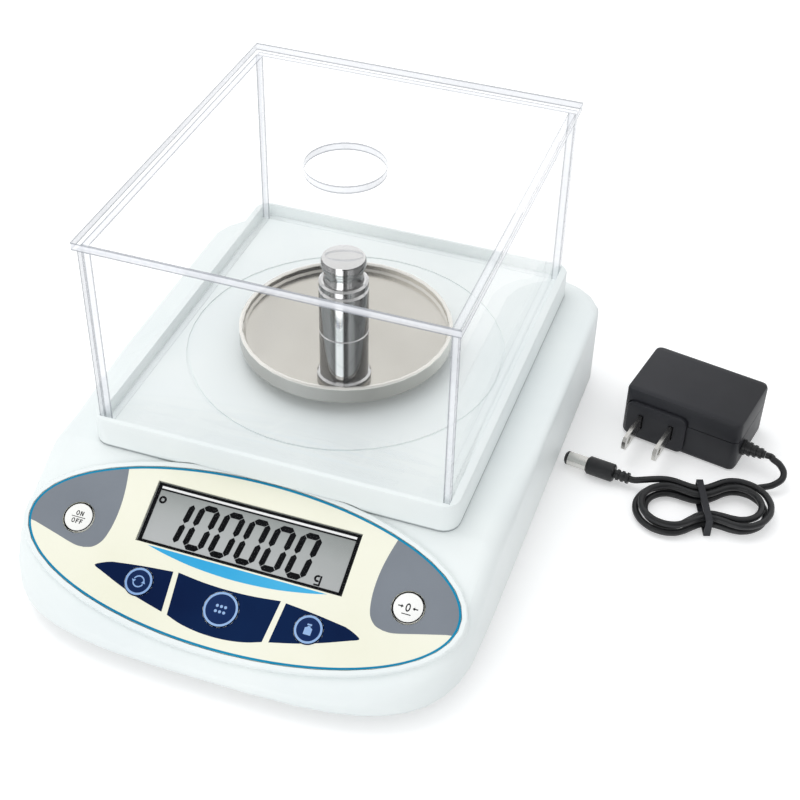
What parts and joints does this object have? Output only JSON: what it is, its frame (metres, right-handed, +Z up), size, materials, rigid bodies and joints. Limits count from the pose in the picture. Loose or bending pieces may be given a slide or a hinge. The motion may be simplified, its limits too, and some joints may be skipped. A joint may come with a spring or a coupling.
{
  "type": "weighing scale",
  "caption": "Laboratory balance: housing with a sloped control panel, round steel pan in a clear lidded wind shield, calibration weight and mains adapter with a hanked lead.",
  "frame": {"origin": "on the table under the middle of the housing's footprint", "axes": "+Z up, the control panel faces -Y, +X to the user's right"},
  "size_m": [0.2523, 0.2245, 0.1251],
  "materials": {
    "housing": "satin white moulding",
    "acrylic": "clear polished sheet",
    "panel_film": "printed matt film",
    "key_white": "satin",
    "key_navy": "satin",
    "lcd": "grey display glass in a black frame",
    "board": "solder mask",
    "black_plastic": "fine matt",
    "black_rubber": "matt",
    "pan_steel": "polished with fine brushing",
    "weight_chrome": "polished",
    "screw_steel": "zinc plated",
    "cast_aluminium": "machined",
    "nickel": "nickel plated",
    "cable_grey": "satin"
  },
  "bodies": {
    "housing": {"upper_housing": "housing", "lower_housing": "housing", "shield_tray": "housing", "case_screw_1": "screw_steel", "case_screw_2": "screw_steel", "case_screw_3": "screw_steel", "case_screw_4": "screw_steel", "load_cell": "cast_aluminium", "load_cell_screw_1": "screw_steel", "load_cell_screw_2": "screw_steel", "bracket_screw_1": "screw_steel", "bracket_screw_2": "screw_steel", "overload_stop_screw": "screw_steel", "keypad_panel": "panel_film", "display_window": "acrylic", "lcd_module": "lcd", "display_board": "board", "display_board_screw_1": "screw_steel", "display_board_screw_2": "screw_steel", "main_board": "board", "main_board_screw_1": "screw_steel", "main_board_screw_2": "screw_steel", "dc_jack": "black_plastic", "load_cell_cable": "cable_grey", "ribbon_cable": "cable_grey", "power_key_switch": "black_plastic", "zero_key_switch": "black_plastic", "unit_key_switch": "black_plastic", "count_key_switch": "black_plastic", "calibrate_key_switch": "black_plastic"},
    "load_support": {"pan_support": "cast_aluminium"},
    "pan": {"weighing_pan": "pan_steel"},
    "weight": {"calibration_weight": "weight_chrome"},
    "shield": {"shield_front_wall": "acrylic", "shield_back_wall": "acrylic", "shield_left_wall": "acrylic", "shield_right_wall": "acrylic"},
    "lid": {"shield_lid": "acrylic"},
    "power_key": {"power_key": "key_white"},
    "zero_key": {"zero_key": "key_white"},
    "unit_key": {"unit_key": "key_navy"},
    "count_key": {"count_key": "key_navy"},
    "calibrate_key": {"calibrate_key": "key_navy"},
    "levelling_foot_1": {"levelling_foot_1": "black_rubber"},
    "levelling_foot_2": {"levelling_foot_2": "black_rubber"},
    "levelling_foot_3": {"levelling_foot_3": "black_rubber"},
    "levelling_foot_4": {"levelling_foot_4": "black_rubber"},
    "adapter": {"adapter_body": "black_plastic", "adapter_cover": "black_plastic", "adapter_blade_1": "nickel", "adapter_blade_2": "nickel", "strain_relief": "black_rubber", "cord_lead": "black_rubber", "cord_hank": "black_rubber", "hank_tie": "black_plastic", "cord_tail": "black_rubber", "plug_sleeve": "black_rubber", "plug_barrel": "nickel"}
  },
  "joints": [
    {"name": "load_travel", "type": "slide", "parent": "housing", "child": "load_support", "axis": [0, 0, -1], "range_m": [0, 0.00025], "stiffness_N_per_m": 20000, "springref_m": -0.00009},
    {"name": "pan_lift", "type": "slide", "parent": "load_support", "child": "pan", "axis": [0, 0, 1], "range_m": [0, 0.0055]},
    {"name": "weight_lift", "type": "slide", "parent": "pan", "child": "weight", "axis": [0, 0, 1], "range_m": [0, 0.0065]},
    {"name": "shield_lift", "type": "slide", "parent": "housing", "child": "shield", "axis": [0, 0, 1], "range_m": [0, 0.08]},
    {"name": "lid_lift", "type": "slide", "parent": "shield", "child": "lid", "axis": [0, 0, 1], "range_m": [0, 0.06]},
    {"name": "adapter_lift", "type": "slide", "parent": "housing", "child": "adapter", "axis": [0, 0, 1], "range_m": [0, 0.15]},
    {"name": "power_key_press", "type": "slide", "parent": "housing", "child": "power_key", "axis": [0, 0.4446, -0.8957], "range_m": [0, 0.0005], "stiffness_N_per_m": 1000, "springref_m": -0.0004},
    {"name": "zero_key_press", "type": "slide", "parent": "housing", "child": "zero_key", "axis": [0, 0.4446, -0.8957], "range_m": [0, 0.0005], "stiffness_N_per_m": 1000, "springref_m": -0.0004},
    {"name": "unit_key_press", "type": "slide", "parent": "housing", "child": "unit_key", "axis": [0, 0.4446, -0.8957], "range_m": [0, 0.0005], "stiffness_N_per_m": 1000, "springref_m": -0.0004},
    {"name": "count_key_press", "type": "slide", "parent": "housing", "child": "count_key", "axis": [0, 0.4446, -0.8957], "range_m": [0, 0.0005], "stiffness_N_per_m": 1000, "springref_m": -0.0004},
    {"name": "calibrate_key_press", "type": "slide", "parent": "housing", "child": "calibrate_key", "axis": [0, 0.4446, -0.8957], "range_m": [0, 0.0005], "stiffness_N_per_m": 1000, "springref_m": -0.0004},
    {"name": "levelling_foot_1_turn", "type": "hinge", "parent": "housing", "child": "levelling_foot_1", "pos_m": [-0.06, -0.082, 0], "axis": [0, 0, 1], "range_deg": [-360, 360]},
    {"name": "levelling_foot_2_turn", "type": "hinge", "parent": "housing", "child": "levelling_foot_2", "pos_m": [0.06, -0.082, 0], "axis": [0, 0, 1], "range_deg": [-360, 360]},
    {"name": "levelling_foot_3_turn", "type": "hinge", "parent": "housing", "child": "levelling_foot_3", "pos_m": [-0.068, 0.095, 0], "axis": [0, 0, 1], "range_deg": [-360, 360]},
    {"name": "levelling_foot_4_turn", "type": "hinge", "parent": "housing", "child": "levelling_foot_4", "pos_m": [0.068, 0.095, 0], "axis": [0, 0, 1], "range_deg": [-360, 360]}
  ]
}
